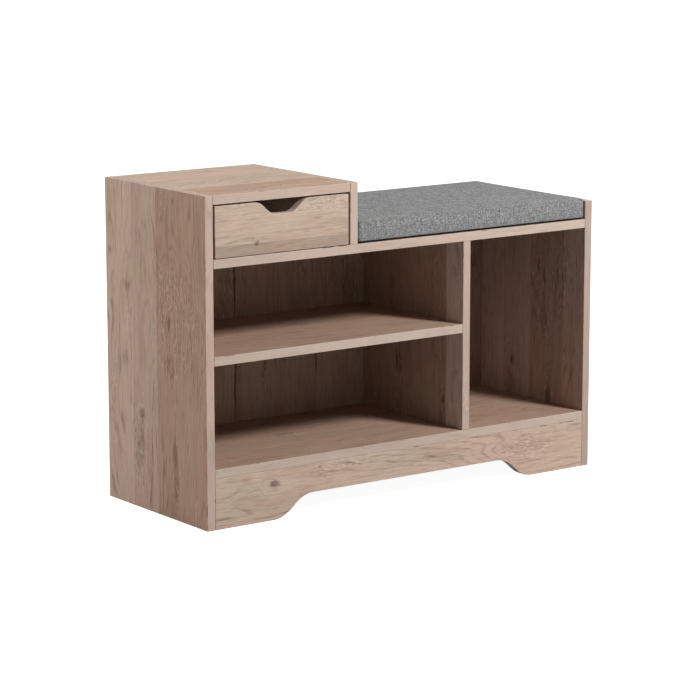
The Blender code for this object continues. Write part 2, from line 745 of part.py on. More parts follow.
def add_cushion():
    left = TOWER_RIGHT + CUSHION_SIDE_GAP
    right = INNER_RIGHT - CUSHION_SIDE_GAP
    bottom = SEAT_BOARD_TOP + GAP
    low = Vector((left, FRONT + CUSHION_FRONT_GAP, bottom))
    high = Vector((right, REAR - CUSHION_REAR_GAP, bottom + CUSHION_THICKNESS))
    wall = Vector((COVER, COVER, COVER))
    skin = wall + Vector((GAP, GAP, GAP))
    cover = add_box("cushion_cover", low, high, linen)
    chamfer(cover, CUSHION_ROUND, 2)
    hollow = add_box("cushion_hollow", low + wall, high - wall, linen)
    chamfer(hollow, CUSHION_ROUND - COVER, 2)
    cut(cover, hollow)
    block = add_box("cushion_foam", low + skin, high - skin, foam)
    chamfer(block, CUSHION_ROUND - COVER, 2)
    zip_middle = (low.z + high.z) / 2
    zip_low = Vector((left + ZIP_END_SPACE, high.y - COVER, zip_middle - ZIP_WIDTH / 2))
    zip_high = Vector((right - ZIP_END_SPACE, high.y, zip_middle + ZIP_WIDTH / 2))
    inset = Vector((GAP, 0.0, GAP))
    reach = Vector((0.0, COVER, 0.0))
    cut_box(cover, "zip_opening", zip_low - reach, zip_high + reach)
    closure = add_box("cushion_zip", zip_low + inset, zip_high - inset, zip_tape)
    lift = add_empty("cushion_lift", ((left + right) / 2, (low.y + high.y) / 2, bottom))
    for piece in (cover, block, closure):
        attach(piece, lift)


add_cushion()
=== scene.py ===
"""Looks of the entryway bench: laminate, steel, linen, the sewn cushion, fittings and studio."""

import math
import random

import bmesh
import bpy
from mathutils import Matrix, Vector
from mathutils.bvhtree import BVHTree


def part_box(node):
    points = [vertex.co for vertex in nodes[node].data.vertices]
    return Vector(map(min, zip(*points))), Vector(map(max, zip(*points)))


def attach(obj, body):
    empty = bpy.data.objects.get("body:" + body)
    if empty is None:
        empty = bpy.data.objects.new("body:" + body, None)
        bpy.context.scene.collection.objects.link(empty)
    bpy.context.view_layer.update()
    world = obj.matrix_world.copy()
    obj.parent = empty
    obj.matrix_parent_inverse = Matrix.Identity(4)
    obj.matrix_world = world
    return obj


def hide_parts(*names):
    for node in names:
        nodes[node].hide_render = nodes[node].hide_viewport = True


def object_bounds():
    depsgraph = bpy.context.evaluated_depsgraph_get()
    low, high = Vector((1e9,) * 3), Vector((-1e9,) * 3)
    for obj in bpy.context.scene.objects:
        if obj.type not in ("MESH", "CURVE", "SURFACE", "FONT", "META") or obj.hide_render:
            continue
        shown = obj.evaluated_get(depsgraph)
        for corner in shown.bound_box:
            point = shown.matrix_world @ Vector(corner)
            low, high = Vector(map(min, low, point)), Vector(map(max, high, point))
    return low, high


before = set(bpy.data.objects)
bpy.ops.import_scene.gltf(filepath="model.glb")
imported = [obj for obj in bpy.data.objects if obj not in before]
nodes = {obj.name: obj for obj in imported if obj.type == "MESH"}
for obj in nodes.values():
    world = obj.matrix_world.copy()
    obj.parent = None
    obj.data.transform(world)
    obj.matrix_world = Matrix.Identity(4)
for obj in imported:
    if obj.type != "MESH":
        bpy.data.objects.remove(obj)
cad_low, cad_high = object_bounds()
scene = bpy.context.scene

# Camera and light
CAMERA_PLACE = (-2.7796, -3.7962, 1.1249)
CAMERA_DIP = 0.1884  # below the horizon, radians
CAMERA_TURN = -0.6304
LENS = 144.3  # on the 36 mm sensor
KEY_DIRECTION = (0.33, -0.73, 0.62)
KEY_DISTANCE = 3.0
KEY_SIZE = 0.60
KEY_POWER = 92.0
SIDE_PLACE = (-2.6, 0.75, 1.0)
SIDE_SIZE = 1.4
SIDE_POWER = 27.0
TOP_PLACE = (-0.45, 2.0, 2.2)
TOP_SIZE = 1.6
TOP_POWER = 26.0
AIM = (0.0, 0.0, 0.27)
BAY_FILL = 0.010  # faint light inside the drawer bay, seen through the finger notch
BAY_FILL_SIZE = 0.12
BAY_FILL_DROP = 0.001  # under the tower top
SKY = 0.20  # light from all round
FLOOR_SIZE = 9.0
FLOOR_DROP = 0.0004  # under the bench's feet
FLOOR_SHOWN = (0.86, 0.86, 0.86, 1.0)
FLOOR_BOUNCED = (0.40, 0.40, 0.40, 1.0)  # for light that bounces off it
WHITE = (1.0, 1.0, 1.0, 1.0)
FLOOR_GLOW = (0.94, 1.0)  # near the bench and far from it
FLOOR_FADE = (0.6, 2.0)

# Cushion
CUSHION_INSET = -0.0003  # the linen stands a little outside the plain shape
CUSHION_CROWN = 0.0026
CUSHION_BULGE = 0.0010
CUSHION_ROUND = 0.0031
CUSHION_PINCH = 0.0008
VOXEL = 0.0042
SIM_FRAMES = 20
PRESSURE = 4.0
SEAM_RADIUS = 0.0006
SEAM_DROP = 0.0014  # upper seam below the cushion's top
SHADOW_RISE = 0.0036  # how far the painted shadow under the cushion comes up its sides
SEAM_STEP = 0.005
SEAM_CORNER_STEPS = 5
SEAM_SPREAD = (0.85, 1.15)  # the seam's thickness, as a share of its radius
FOAM_INSET = 0.0035
THREAD = 0.00085  # pitch of the weave
CLOTH_MASS = 0.25
CLOTH_STIFFNESS = 18.0
CLOTH_SHEAR = 8.0
CLOTH_BENDING = 0.6

# Zip, in the cushion's rear side
TAPE_STEPS = 40  # lengths of tape that follow the drawn-in side
TAPE_DEPTH = 0.0010  # the tape's back, behind the cloth
TAPE_EDGE = 0.0003
TAPE_MIDDLE = 0.0006  # the tape stands proudest beside the coil
COIL_LANE = 0.35  # share of the tape's width
TOOTH_PITCH = 0.0016
TOOTH_WIDTH = 0.0009
TOOTH_HEIGHT = 0.0022
TOOTH_DEPTH = 0.0007
TOOTH_RADIUS = 0.62
TOOTH_SHIFT = 0.12  # every other tooth sits this share of its height lower
PLAIN_TAPE = 2  # tooth pitches without teeth at each end
SLIDER_PLACE = 0.016  # from the zip's end
SLIDER_LIFT = 0.0011
SLIDER_HALF = (0.0042, 0.0009, 0.0028)
BRIDGE = ((-0.0022, 0.0005, -0.0008), (0.0022, 0.0017, 0.0008))
PULL = ((-0.0145, 0.0009, -0.0022), (-0.0006, 0.0017, 0.0022))

# Fittings
CAM_RADIUS = 0.0075
FITTING_PROUD = 0.0002
FITTING_DEPTH = 0.0012
CAM_CROSS = (0.0030, 0.0014, 0.0010)  # reach, width and depth of the cross
SCREW_RADIUS = 0.0033
SCREW_HEAD = 0.0011
FLAT_CROSS = (0.0021, 0.0009, 0.0009)
FLAT_SPREAD = 1.3  # flat heads are this much wider than pan heads
FLAT_SLOPE = 0.0003
PAN_CROSS = (0.0018, 0.0007, -0.25 * SCREW_HEAD)
CABINET_SCREWS = (0.3, 0.72)  # places along the rails, as shares
BACK_SCREWS = (0.25, 0.8)  # and up the drawer's back
RAIL_SHEET = 0.0012
TOUCH = 0.0003  # clearance between the runners and the boards
DOWN = (0, 0, -1)
BACK = (0, 1, 0)
FORWARD = (0, -1, 0)


def colour(red, green, blue):
    """The linear colour of display values from 0 to 255."""

    def linear(value):
        value = value / 255
        return value / 12.92 if value <= 0.04045 else ((value + 0.055) / 1.055) ** 2.4

    return (linear(red), linear(green), linear(blue), 1.0)


class Graph:
    """Adds shader nodes to a tree. Each method returns the new node's output."""

    def __init__(self, tree):
        self.tree = tree
        tree.nodes.clear()

    def feed(self, socket, value):
        if isinstance(value, bpy.types.NodeSocket):
            self.tree.links.new(value, socket)
        elif value is not None:
            socket.default_value = value

    def add(self, kind, *inputs, **settings):
        prefix = "" if kind.startswith("NodeGroup") else "ShaderNode"
        node = self.tree.nodes.new(prefix + kind)
        for name, value in settings.items():
            setattr(node, name, value)
        for socket, value in zip(node.inputs, inputs):
            self.feed(socket, value)
        return node

    def math(self, operation, a, b=None, c=None, clamp=False):
        return self.add("Math", a, b, c, operation=operation, use_clamp=clamp).outputs[0]

    def vector(self, operation, a, b=None):
        node = self.add("VectorMath", a, b, operation=operation)
        return node.outputs["Value" if operation in ("LENGTH", "DOT_PRODUCT") else "Vector"]

    def split(self, vector):
        return self.add("SeparateXYZ", vector).outputs

    def join(self, x, y, z):
        return self.add("CombineXYZ", x, y, z).outputs[0]

    def noise(self, place, stretch=(1.0, 1.0, 1.0), scale=1.0, detail=2.0, rough=0.5):
        """Noise from 0 to 1 about 0.5. stretch is how many features a metre holds each way."""
        stretched = self.vector("MULTIPLY", place, stretch)
        node = self.add("TexNoise")
        self.feed(node.inputs["Vector"], stretched)
        self.feed(node.inputs["Scale"], scale)
        self.feed(node.inputs["Detail"], detail)
        self.feed(node.inputs["Roughness"], rough)
        return node.outputs[0]

    def smooth(self, value, low, high, start=0.0, end=1.0):
        """Runs smoothly from start to end as the value goes from low to high."""
        node = self.add("MapRange", value, low, high, start, end, interpolation_type="SMOOTHSTEP")
        return node.outputs[0]

    def mix(self, factor, a, b, blend="MIX"):
        node = self.add("Mix", data_type="RGBA", blend_type=blend)
        self.feed(node.inputs[0], factor)
        self.feed(node.inputs[6], a)
        self.feed(node.inputs[7], b)
        return node.outputs[2]

    def blend_vector(self, factor, a, b):
        node = self.add("Mix", data_type="VECTOR")
        self.feed(node.inputs[0], factor)
        self.feed(node.inputs[4], a)
        self.feed(node.inputs[5], b)
        return node.outputs[1]


def new_material(name, metallic=0.0, specular=0.5, sheen=0.0):
    """A material with its graph and shader. Values that are the same all over are set here."""
    material = bpy.data.materials.new(name)
    material.use_nodes = True
    graph = Graph(material.node_tree)
    shader = graph.add("BsdfPrincipled")
    shader.inputs["Metallic"].default_value = metallic
    shader.inputs["Specular IOR Level"].default_value = specular
    shader.inputs["Sheen Weight"].default_value = sheen
    output = graph.add("OutputMaterial")
    graph.feed(output.inputs["Surface"], shader.outputs[0])
    return material, graph, shader


def finish_material(graph, shader, base, rough, height, depth, strength=0.5):
    """Connects the surface. depth is the height map's relief, in metres."""
    bump = graph.add("Bump")
    graph.feed(bump.inputs["Strength"], strength)
    graph.feed(bump.inputs["Distance"], depth)
    graph.feed(bump.inputs["Height"], height)
    graph.feed(shader.inputs["Base Color"], base)
    graph.feed(shader.inputs["Roughness"], rough)
    graph.feed(shader.inputs["Normal"], bump.outputs[0])


# Weathered oak laminate

BEIGE = colour(193, 173, 155)
PINKISH = colour(193, 167, 151)
GREENISH = colour(181, 169, 150)
BROWNISH = colour(170, 145, 126)
EDGING = colour(192, 174, 161)
DARK_GRAIN = colour(88, 72, 62)
PALE_FLECK_AND_HIGHLIGHT = colour(216, 203, 190)
UNDER_SHADOW = colour(20, 20, 22)  # painted shadow: near-black cloth colour under the cushion and up its lowest sides
FIBRE_DARK = colour(140, 112, 84)
FIBRE_PALE = colour(172, 142, 108)
PLAIN = (1.0, 1.0, 1.0)
FACING = 0.7  # a surface faces a direction when its normal has this share of it


def oak_group():
    """Grain of weathered oak, in a frame whose X runs along the grain, in metres."""
    tree = bpy.data.node_groups.new("weathered_oak", "ShaderNodeTree")
    for name, kind in (
        ("Place", "Vector"),
        ("Mound", "Float"),
        ("Core", "Float"),
        ("Tint", "Color"),
        ("Face", "Float"),
        ("Figure", "Float"),
    ):
        tree.interface.new_socket(name, in_out="INPUT", socket_type="NodeSocket" + kind)
    for name, kind in (("Colour", "Color"), ("Roughness", "Float"), ("Height", "Float")):
        tree.interface.new_socket(name, in_out="OUTPUT", socket_type="NodeSocket" + kind)
    graph = Graph(tree)
    given = graph.add("NodeGroupInput").outputs

    wander = graph.noise(given["Place"], (3.0, 14.0, 14.0), detail=2.0)
    sway = graph.math("MULTIPLY_ADD", wander, 0.010, -0.005)
    place = graph.vector("ADD", given["Place"], graph.join(0.0, sway, 0.0))

    warm = graph.noise(place, (3.4, 15.0, 15.0), detail=3.0, rough=0.6)
    aside = graph.vector("ADD", place, (3.1, 1.7, 0.4))
    green = graph.noise(aside, (4.6, 24.0, 24.0), detail=3.0, rough=0.6)
    aside = graph.vector("ADD", place, (7.3, 4.1, 2.2))
    brown = graph.noise(aside, (6.0, 34.0, 34.0), detail=4.0, rough=0.65)
    base = graph.mix(graph.smooth(warm, 0.36, 0.64), BEIGE, PINKISH)
    base = graph.mix(graph.smooth(green, 0.48, 0.70, 0.0, 0.70), base, GREENISH)
    base = graph.mix(graph.smooth(brown, 0.48, 0.72, 0.0, 0.70), base, BROWNISH)
    base = graph.mix(graph.math("MULTIPLY_ADD", given["Face"], -0.60, 0.60), base, EDGING)

    drift = graph.noise(place, (2.1, 9.0, 9.0), detail=3.0)
    across = graph.split(place)[1]
    rings = graph.math("MULTIPLY", across, 70.0)
    rings = graph.math("ADD", rings, graph.math("MULTIPLY", drift, 17.0))
    rings = graph.math("ADD", rings, given["Mound"])
    phase = graph.math("FRACT", rings)
    rise, fall = graph.smooth(phase, 0.52, 0.88), graph.smooth(phase, 0.88, 1.0, 1.0, 0.0)
    late = graph.math("MULTIPLY", rise, fall)
    break_up = graph.noise(place, (24.0, 120.0, 120.0), detail=2.0)
    late = graph.math("MULTIPLY", late, graph.smooth(break_up, 0.35, 0.62, 0.25, 1.0))
    patch = graph.noise(place, (4.0, 22.0, 22.0), detail=1.0)
    ring = graph.math("MULTIPLY", late, graph.smooth(patch, 0.40, 0.66, 0.12, 1.0))
    ring = graph.math("MULTIPLY", ring, given["Figure"])

    streak = graph.noise(place, (8.0, 300.0, 300.0), detail=4.0, rough=0.65)
    streak = graph.smooth(streak, 0.46, 0.72)
    dash = graph.smooth(graph.noise(place, (34.0, 430.0, 430.0), detail=2.0), 0.55, 0.70)
    fine = graph.noise(place, (38.0, 900.0, 900.0), detail=2.0)
    pore = graph.smooth(graph.noise(place, (75.0, 1500.0, 1500.0), detail=1.0), 0.62, 0.74)

    torn = graph.noise(place, (11.0, 150.0, 150.0), detail=3.0, rough=0.6)
    away = graph.math("ABSOLUTE", graph.math("SUBTRACT", torn, 0.5))
    line = graph.smooth(away, 0.0, 0.016, 1.0, 0.0)
    aside = graph.vector("ADD", place, (1.9, 8.7, 5.5))
    cracked = graph.smooth(graph.noise(aside, (5.0, 17.0, 17.0), detail=1.0), 0.60, 0.70)
    near_knot = graph.smooth(given["Mound"], 0.6, 3.0)
    crack = graph.math("MULTIPLY", line, graph.math("MAXIMUM", cracked, near_knot))

    flaw = graph.math("MULTIPLY", graph.math("ADD", crack, given["Core"]), given["Face"])
    dark = graph.math("MULTIPLY", ring, 0.42)
    dark = graph.math("MULTIPLY_ADD", streak, 0.22, dark)
    dark = graph.math("MULTIPLY_ADD", graph.smooth(fine, 0.40, 0.70), 0.14, dark)
    dark = graph.math("MULTIPLY_ADD", pore, 0.10, dark)
    dark = graph.math("MULTIPLY_ADD", dash, 0.16, dark)
    dark = graph.math("MULTIPLY", dark, graph.math("MULTIPLY_ADD", given["Face"], 0.55, 0.45))
    dark = graph.math("MULTIPLY_ADD", flaw, 0.62, dark, clamp=True)
    stained = graph.mix(dark, base, DARK_GRAIN)
    fleck = graph.smooth(graph.noise(place, (90.0, 420.0, 420.0), detail=1.0), 0.58, 0.68)
    pale = graph.math("MULTIPLY", fleck, graph.math("MAXIMUM", cracked, near_knot))
    pale = graph.math("MULTIPLY", pale, graph.smooth(given["Core"], 0.45, 0.80, 1.0, 0.0))
    stained = graph.mix(graph.math("MULTIPLY", pale, 0.55), stained, PALE_FLECK_AND_HIGHLIGHT)
    tinted = graph.mix(1.0, stained, given["Tint"], "MULTIPLY")

    rough = graph.math("MULTIPLY_ADD", dark, 0.16, 0.50)
    rough = graph.math("MULTIPLY_ADD", fine, 0.10, rough, clamp=True)
    relief = graph.math("MULTIPLY_ADD", flaw, -0.8, fine)
    relief = graph.math("MULTIPLY_ADD", ring, -0.35, relief)
    relief = graph.math("MULTIPLY_ADD", pore, -0.5, relief)
    output = graph.add("NodeGroupOutput")
    for socket, value in zip(output.inputs, (tinted, rough, relief)):
        graph.feed(socket, value)
    return tree


def board_frame(graph, grain, across):
    """Coordinates along, across and through a board, and whether the surface is a face or a corner.

    On the board's ends the grain of the edging runs across the board.
    """
    through = "XYZ".replace(grain, "").replace(across, "")
    order = ["XYZ".index(axis) for axis in (grain, across, through)]
    point = graph.split(graph.add("TexCoord").outputs["Object"])
    normal = graph.split(graph.vector("ABSOLUTE", graph.add("NewGeometry").outputs["True Normal"]))
    end = graph.math("GREATER_THAN", normal[order[0]], FACING)
    face = graph.math("GREATER_THAN", normal[order[2]], FACING)
    lengthways = graph.join(*(point[i] for i in order))
    crossways = graph.join(point[order[1]], point[order[2]], point[order[0]])
    corner = graph.math("MAXIMUM", graph.math("MAXIMUM", normal[0], normal[1]), normal[2])
    chamfer_highlight_and_wear = graph.math("LESS_THAN", corner, 0.9)
    return graph.blend_vector(end, lengthways, crossways), face, chamfer_highlight_and_wear


def faces(graph, direction):
    """1 where the surface faces that direction, else 0."""
    normal = graph.add("NewGeometry").outputs["True Normal"]
    return graph.math("GREATER_THAN", graph.vector("DOT_PRODUCT", normal, direction), FACING)


def board_material(
    name, grain, across, seed, planks=(), knots=(), figure=0.7, tint=PLAIN, raw=None, shaded_side=None
):
    """Laminate for one board.

    planks are (upper limit across, tint) bands of the print, some of them tinted as painted
    light or shade. knots are (along, across, half length, half width, rings, darkness). raw is
    the direction of a face that is left as plain fibreboard. The last option is the direction
    and tint of an inner face that is darkened as painted shade.
    """
    material, graph, shader = new_material(name + "_oak", specular=0.25)
    place, face, chamfer_highlight_and_wear = board_frame(graph, grain, across)
    width = graph.split(place)[1]
    tones = [(*(a * b for a, b in zip(tint, plank_tint)), 1.0) for _, plank_tint in planks]
    tone, band = (tones or [(*tint, 1.0)])[0], float(seed)
    for (edge, _), next_tone in zip(planks, tones[1:]):
        past = graph.math("GREATER_THAN", width, edge)
        tone = graph.mix(past, tone, next_tone)
        band = graph.math("MULTIPLY_ADD", past, 3.7, band)
    bent = graph.noise(place, (22.0, 60.0, 60.0), detail=2.0)
    bend = graph.math("MULTIPLY_ADD", bent, 0.012, -0.006)
    target = graph.vector("ADD", place, graph.join(bend, bend, 0.0))
    mound = core = 0.0
    for along, side, length, breadth, rings, darkness in knots:
        offset = graph.vector("SUBTRACT", target, (along, side, 0.0))
        scaled = graph.vector("MULTIPLY", offset, (1 / length, 1 / breadth, 0.0))
        distance = graph.vector("LENGTH", scaled)
        mound = graph.math("ADD", graph.smooth(distance, 0.0, 2.4, rings, 0.0), mound)
        core = graph.math("ADD", graph.smooth(distance, 0.25, 1.10, darkness, 0.0), core)
    shifted = graph.vector("ADD", place, graph.join(band, seed * 0.37, seed * 0.91))
    oak = graph.add("Group", node_tree=oak_tree)
    for socket, value in zip(oak.inputs, (shifted, mound, core, tone, face, figure)):
        graph.feed(socket, value)
    # Painted highlight: the chamfers on the boards' edges are painted paler; the dark nicks on them
    # are wear.
    base = graph.mix(graph.math("MULTIPLY", chamfer_highlight_and_wear, 0.35), oak.outputs["Colour"], PALE_FLECK_AND_HIGHLIGHT)
    nick = graph.smooth(graph.noise(shifted, (34.0, 34.0, 34.0), detail=1.0), 0.63, 0.68)
    base = graph.mix(graph.math("MULTIPLY", nick, chamfer_highlight_and_wear), base, DARK_GRAIN)
    if raw:
        fibre = graph.noise(place, (500.0, 1100.0, 1100.0), detail=4.0, rough=0.7)
        board = graph.mix(graph.smooth(fibre, 0.3, 0.7), FIBRE_DARK, FIBRE_PALE)
        base = graph.mix(faces(graph, raw), base, board)
    # Painted shade: one inner face darkened by a tint.
    if shaded_side:
        direction, shade_tint = shaded_side
        darker = graph.mix(1.0, base, shade_tint, "MULTIPLY")
        base = graph.mix(faces(graph, direction), base, darker)
    finish_material(graph, shader, base, oak.outputs["Roughness"], oak.outputs["Height"], 0.0003)
    return material


def dress(node, material):
    for slot in nodes[node].material_slots:
        slot.material = material


oak_tree = oak_group()
COMPARTMENT_SHADE = (0.84, 0.78, 0.75)  # painted shade: printed faces inside the compartments and behind the drawer, darkened
LIGHT = (1.14, 1.13, 1.12)  # the drawer's boards
SHELF_PLANKS = ((-0.1496, PLAIN), (0.150, (0.82, 0.72, 0.68)))  # front edge, then the face, darkened as painted shade inside the compartments
LEFT_EDGE = (-0.1496, (1.04, 0.98, 0.985))
RIGHT_EDGE = (-0.1496, (0.84, 0.80, 0.82))
# Painted light: the right side panel's strip nearest the front, lighter and warmer on its
# compartment side.
RIGHT_FRONT = (-0.095, (1.12, 0.93, 0.84))
# Painted shade: the right side panel's inner face, darker.
RIGHT_INNER_SHADE = ((-1.0, 0.0, 0.0), (0.83, 0.91, 1.0, 1.0))
SIDE_PLANKS = (
    (-0.005, (0.92, 0.76, 0.70)),
    (0.070, (1.06, 0.97, 0.95)),
    (0.150, (1.18, 1.10, 1.08)),
)
SIDE_KNOTS = (
    (0.160, 0.043, 0.015, 0.010, 3.0, 0.70),
    (0.105, 0.048, 0.055, 0.017, 5.0, 0.42),
    (0.110, -0.057, 0.034, 0.009, 4.0, 0.80),
    (0.055, -0.059, 0.050, 0.010, 3.0, 0.60),
    (0.335, -0.060, 0.060, 0.045, 6.0, 0.0),
    (0.322, -0.042, 0.024, 0.006, 3.0, 0.60),
    (0.255, -0.045, 0.030, 0.014, 4.0, 0.35),
    (0.520, -0.058, 0.008, 0.004, 2.0, 0.70),
)
# Plank tones of the print on the lower back panel, all darkened as painted shade inside the
# compartments, most of all behind the right compartment.
BACK_PLANKS = (
    (-0.157, (0.88, 0.82, 0.80)),
    (0.015, COMPARTMENT_SHADE),
    (0.124, (0.90, 0.83, 0.81)),
    (0.4, (0.58, 0.51, 0.52)),
)
TOP_PLANKS = (
    (-0.1496, (1.02, 0.98, 0.96)),
    (-0.060, (1.00, 0.88, 0.80)),
    (0.150, (1.18, 1.15, 1.14)),
)
boards = {
    "left_side_panel": dict(
        grain="Z",
        across="Y",
        seed=1,
        planks=(LEFT_EDGE, *SIDE_PLANKS),
        knots=SIDE_KNOTS,
        figure=1.0,
    ),
    "right_side_panel": dict(
        grain="Z",
        across="Y",
        seed=4,
        planks=(RIGHT_EDGE, RIGHT_FRONT, *SIDE_PLANKS),
        knots=SIDE_KNOTS,
        figure=0.9,
        shaded_side=RIGHT_INNER_SHADE,
    ),
    "tower_side_panel": dict(grain="Z", across="Y", seed=7),
    "centre_divider": dict(
        grain="Z",
        across="Y",
        seed=11,
        # The divider's front edge, then a strip painted lighter as painted light near the front,
        # then painted shade further in.
        planks=((-0.1496, (0.92, 0.88, 0.90)), (-0.104, (1.22, 1.22, 1.30)), (0.133, COMPARTMENT_SHADE)),
        knots=((0.143, -0.097, 0.012, 0.004, 2.0, 1.0), (0.195, 0.030, 0.030, 0.010, 3.0, 0.55)),
    ),
    "tower_top_panel": dict(grain="X", across="Y", seed=13, planks=TOP_PLANKS, figure=1.0),
    "seat_board": dict(grain="X", across="Y", seed=17),
    "middle_shelf": dict(grain="X", across="Y", seed=19, figure=0.5, planks=SHELF_PLANKS),
    "bottom_shelf": dict(grain="X", across="Y", seed=23, figure=0.5, planks=SHELF_PLANKS),
    "front_apron": dict(
        grain="X",
        across="Z",
        seed=29,
        tint=(1.10, 1.06, 1.06),
        figure=1.0,
        knots=((-0.271, 0.060, 0.014, 0.010, 3.0, 0.85), (0.250, 0.050, 0.055, 0.020, 3.0, 0.12)),
    ),
    "rear_rail": dict(grain="X", across="Z", seed=31),
    "drawer_front": dict(
        grain="X",
        across="Z",
        seed=37,
        planks=((0.458, (0.78, 0.76, 0.74)), (0.523, (1.05, 1.03, 1.02))),
        knots=((-0.300, 0.459, 0.006, 0.004, 2.0, 0.9), (-0.183, 0.489, 0.012, 0.004, 2.0, 0.45)),
    ),
    "drawer_left_side": dict(grain="Y", across="Z", seed=41, figure=0.3, tint=LIGHT),
    "drawer_right_side": dict(grain="Y", across="Z", seed=43, figure=0.3, tint=LIGHT),
    "drawer_back": dict(grain="X", across="Z", seed=47, figure=0.3, tint=LIGHT),
    "drawer_bottom": dict(
        grain="X",
        across="Y",
        seed=53,
        figure=0.3,
        tint=LIGHT,
        raw=(0.0, 0.0, -1.0),
    ),
    "lower_back_panel": dict(
        grain="Z",
        across="X",
        seed=59,
        figure=0.6,
        planks=BACK_PLANKS,
        knots=(
            (0.350, -0.157, 0.095, 0.0024, 0.0, 1.5),
            (0.180, -0.157, 0.110, 0.0024, 0.0, 1.4),
            (0.190, 0.014, 0.034, 0.0024, 0.0, 1.4),
            (0.190, -0.095, 0.040, 0.0050, 3.0, 0.30),
        ),
        raw=(0.0, 1.0, 0.0),
    ),
    "tower_back_panel": dict(
        grain="Z",
        across="X",
        seed=61,
        figure=0.6,
        tint=COMPARTMENT_SHADE,
        raw=(0.0, 1.0, 0.0),
    ),
}
for node, settings in boards.items():
    dress(node, board_material(node, **settings))


# Metal, nylon, foam and linen

NYLON_DULL = colour(222, 220, 210)
NYLON_PALE = colour(236, 235, 228)
GRIME = colour(168, 164, 152)
FOAM_DARK = colour(188, 176, 138)
FOAM_PALE = colour(232, 224, 196)


def object_point(graph):
    return graph.add("TexCoord").outputs["Object"]


def metal_material(name, dark, pale, rough, stretch, metallic=1.0):
    """Metal with a grain of that stretch, clouded a little, its roughness following the grain."""
    material, graph, shader = new_material(name, metallic=metallic)
    point = object_point(graph)
    grain = graph.noise(point, stretch, detail=4.0, rough=0.6)
    cloud = graph.noise(point, (90.0, 90.0, 90.0), detail=2.0)
    mixed = graph.math("MULTIPLY_ADD", grain, 0.6, graph.math("MULTIPLY", cloud, 0.4))
    base = graph.mix(graph.smooth(mixed, 0.35, 0.65), dark, pale)
    surface = graph.math("MULTIPLY_ADD", mixed, 0.25, rough - 0.12, clamp=True)
    finish_material(graph, shader, base, surface, grain, 0.00008)
    return material


def nylon_material():
    material, graph, shader = new_material("roller_nylon", specular=0.45)
    point = object_point(graph)
    cloud = graph.noise(point, (160.0, 160.0, 160.0), detail=3.0)
    base = graph.mix(graph.smooth(cloud, 0.3, 0.7), NYLON_DULL, NYLON_PALE)
    grime = graph.noise(point, (420.0, 60.0, 60.0), detail=2.0)
    base = graph.mix(graph.smooth(grime, 0.55, 0.75, 0.0, 0.35), base, GRIME)
    rough = graph.math("MULTIPLY_ADD", cloud, 0.2, 0.34)
    finish_material(graph, shader, base, rough, cloud, 0.00005)
    return material


def foam_material():
    material, graph, shader = new_material("cushion_foam", specular=0.2)
    cells = graph.add("TexVoronoi", feature="F1")
    graph.feed(cells.inputs["Vector"], object_point(graph))
    graph.feed(cells.inputs["Scale"], 900.0)
    depth = cells.outputs["Distance"]
    base = graph.mix(graph.smooth(depth, 0.2, 0.7), FOAM_DARK, FOAM_PALE)
    finish_material(graph, shader, base, 0.95, depth, 0.0006)
    return material


